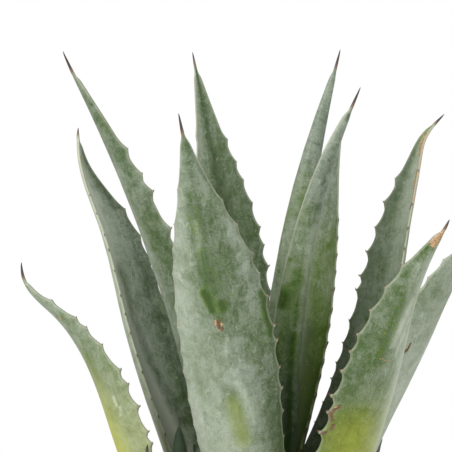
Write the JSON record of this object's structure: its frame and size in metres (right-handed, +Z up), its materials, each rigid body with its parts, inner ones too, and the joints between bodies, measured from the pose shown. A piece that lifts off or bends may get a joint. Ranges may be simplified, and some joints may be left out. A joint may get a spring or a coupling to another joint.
{
  "type": "potted agave",
  "caption": "Upright blue-grey agave with toothed, spine-tipped leaves and small offsets at its foot, rooted in soil in a plain terracotta pot.",
  "frame": {"origin": "centre of the pot's foot, on the surface that it stands on", "axes": "+Z up along the pot's axis, +X towards the plant's right and -Y towards the front of the plant"},
  "size_m": [0.4896, 0.4007, 0.7792],
  "materials": {
    "pot": "unglazed fired terracotta, matte",
    "soil": "gritty potting soil, matte",
    "stem": "dry fibrous stem and leaf bases",
    "leaf": "waxy grey-green leaf skin with a pale bloom",
    "offset_leaf": "dark green waxy leaf skin",
    "dried_leaf": "dry shrivelled brown leaf"
  },
  "bodies": {
    "root": {"pot": "pot", "soil": "soil", "stem": "stem", "leaf_spear": "leaf", "leaf_front_centre": "leaf", "leaf_back_centre": "leaf", "leaf_left": "leaf", "leaf_back_left": "leaf", "leaf_low_left": "leaf", "leaf_inner_front": "leaf", "leaf_front_right": "leaf", "leaf_back_right": "leaf", "leaf_long_right": "leaf", "leaf_broad_right": "leaf", "leaf_far_right": "leaf", "leaf_low_back": "leaf", "leaf_dried": "dried_leaf", "leaf_low_front": "leaf", "offset_left_leaf_1": "offset_leaf", "offset_left_leaf_2": "offset_leaf", "offset_left_leaf_3": "offset_leaf", "offset_right_leaf_1": "offset_leaf", "offset_right_leaf_2": "offset_leaf"}
  },
  "joints": []
}
